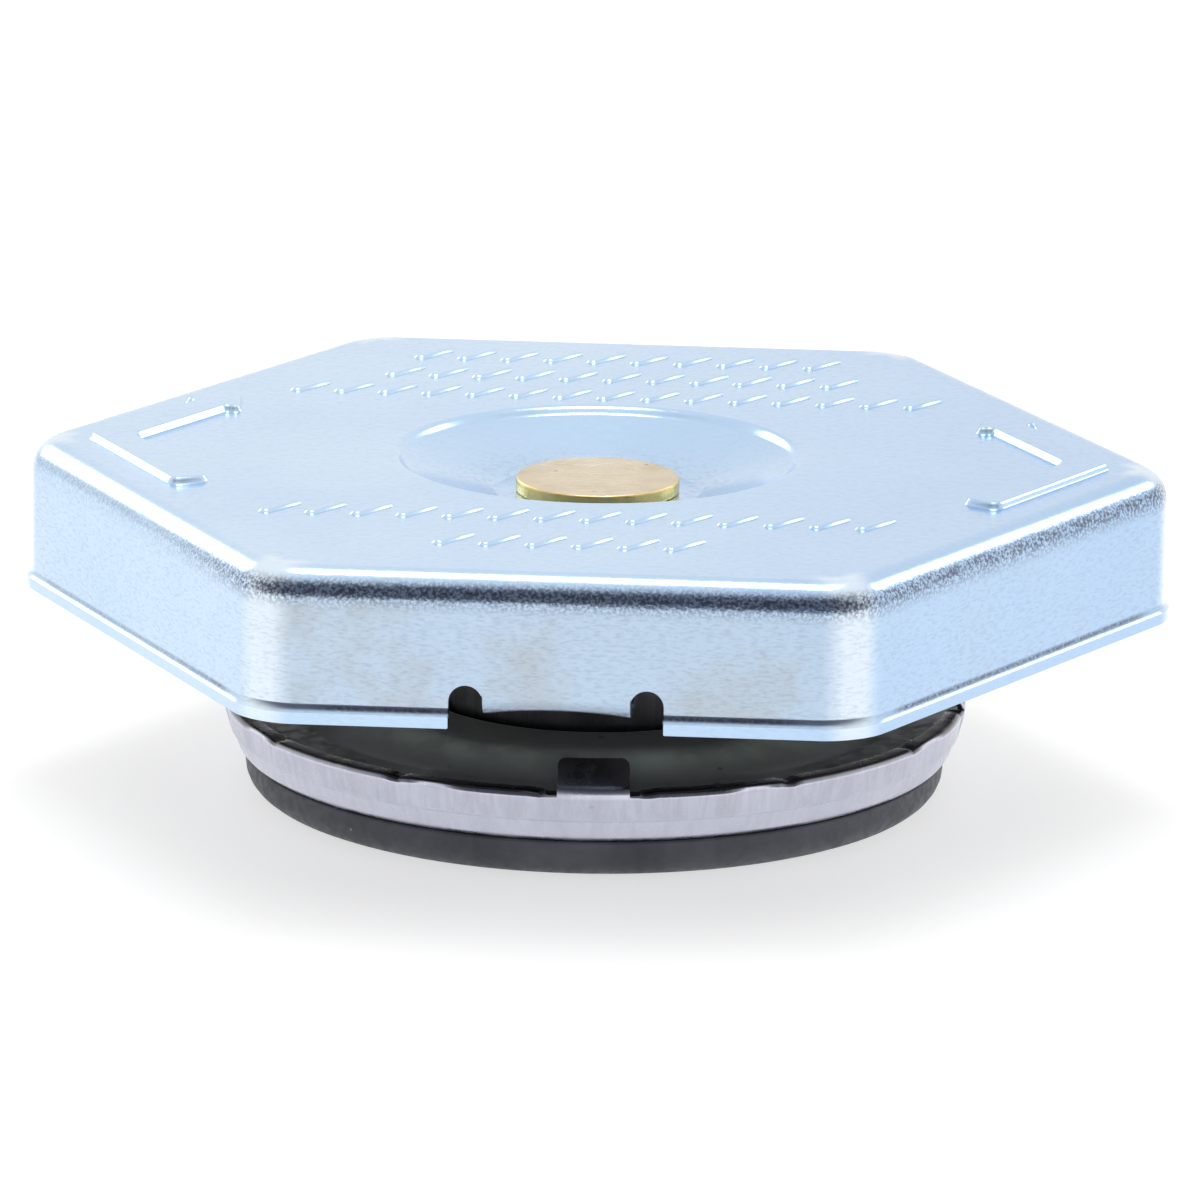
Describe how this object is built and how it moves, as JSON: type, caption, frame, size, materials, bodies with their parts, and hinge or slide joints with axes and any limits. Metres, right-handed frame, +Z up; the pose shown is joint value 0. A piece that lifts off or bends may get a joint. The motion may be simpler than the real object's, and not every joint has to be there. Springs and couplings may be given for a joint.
{
  "type": "radiator cap",
  "caption": "Hexagonal sheet-metal radiator cap with bent-in locking ears and a swivelling, spring-loaded pressure valve whose rubber gasket surrounds a small vacuum valve.",
  "frame": {"origin": "centre of the gasket's sealing face, the lowest plane of the cap", "axes": "+Z up along the rivet's axis, towards the cover's top; X across the corners of the hexagon, through the raised arrows; the flats with the locking ears face +Y and -Y"},
  "size_m": [0.087, 0.0768, 0.0264],
  "materials": {
    "zinc_plate": "bright zinc plate, mottled",
    "rivet_brass": "dull rolled brass with dark spots",
    "spring_sheet": "satin spring steel",
    "bell_steel": "mottled grey plate",
    "spring_wire": "drawn wire",
    "tin_plate": "drawn silver sheet with crimp marks",
    "dark_plate": "glossy green-black",
    "seal_rubber": "matte black rubber with dust",
    "valve_brass": "satin brass"
  },
  "bodies": {
    "cover": {"cover": "zinc_plate", "rivet": "rivet_brass", "rivet_washer": "spring_sheet", "seal_diaphragm": "spring_sheet"},
    "bell": {"bell": "bell_steel", "pressure_spring": "spring_wire"},
    "pressure_valve": {"valve_cup": "tin_plate", "retainer_dish": "dark_plate", "gasket": "seal_rubber", "gasket_washer": "tin_plate", "vacuum_spring": "spring_wire"},
    "vacuum_valve": {"vacuum_disc": "valve_brass", "vacuum_stem": "valve_brass", "vacuum_seal": "seal_rubber", "vacuum_keeper": "valve_brass"}
  },
  "joints": [
    {"name": "cover_swivel", "type": "hinge", "parent": "cover", "child": "bell", "pos_m": [0, 0, 0.0215], "axis": [0, 0, 1], "continuous": true},
    {"name": "pressure_lift", "type": "slide", "parent": "bell", "child": "pressure_valve", "axis": [0, 0, 1], "range_m": [0, 0.0022], "stiffness_N_per_m": 3400, "springref_m": -0.0118, "deforming": ["pressure_spring"]},
    {"name": "vacuum_drop", "type": "slide", "parent": "pressure_valve", "child": "vacuum_valve", "axis": [0, 0, -1], "range_m": [0, 0.0015], "stiffness_N_per_m": 500, "springref_m": -0.0008, "deforming": ["vacuum_spring"]}
  ]
}
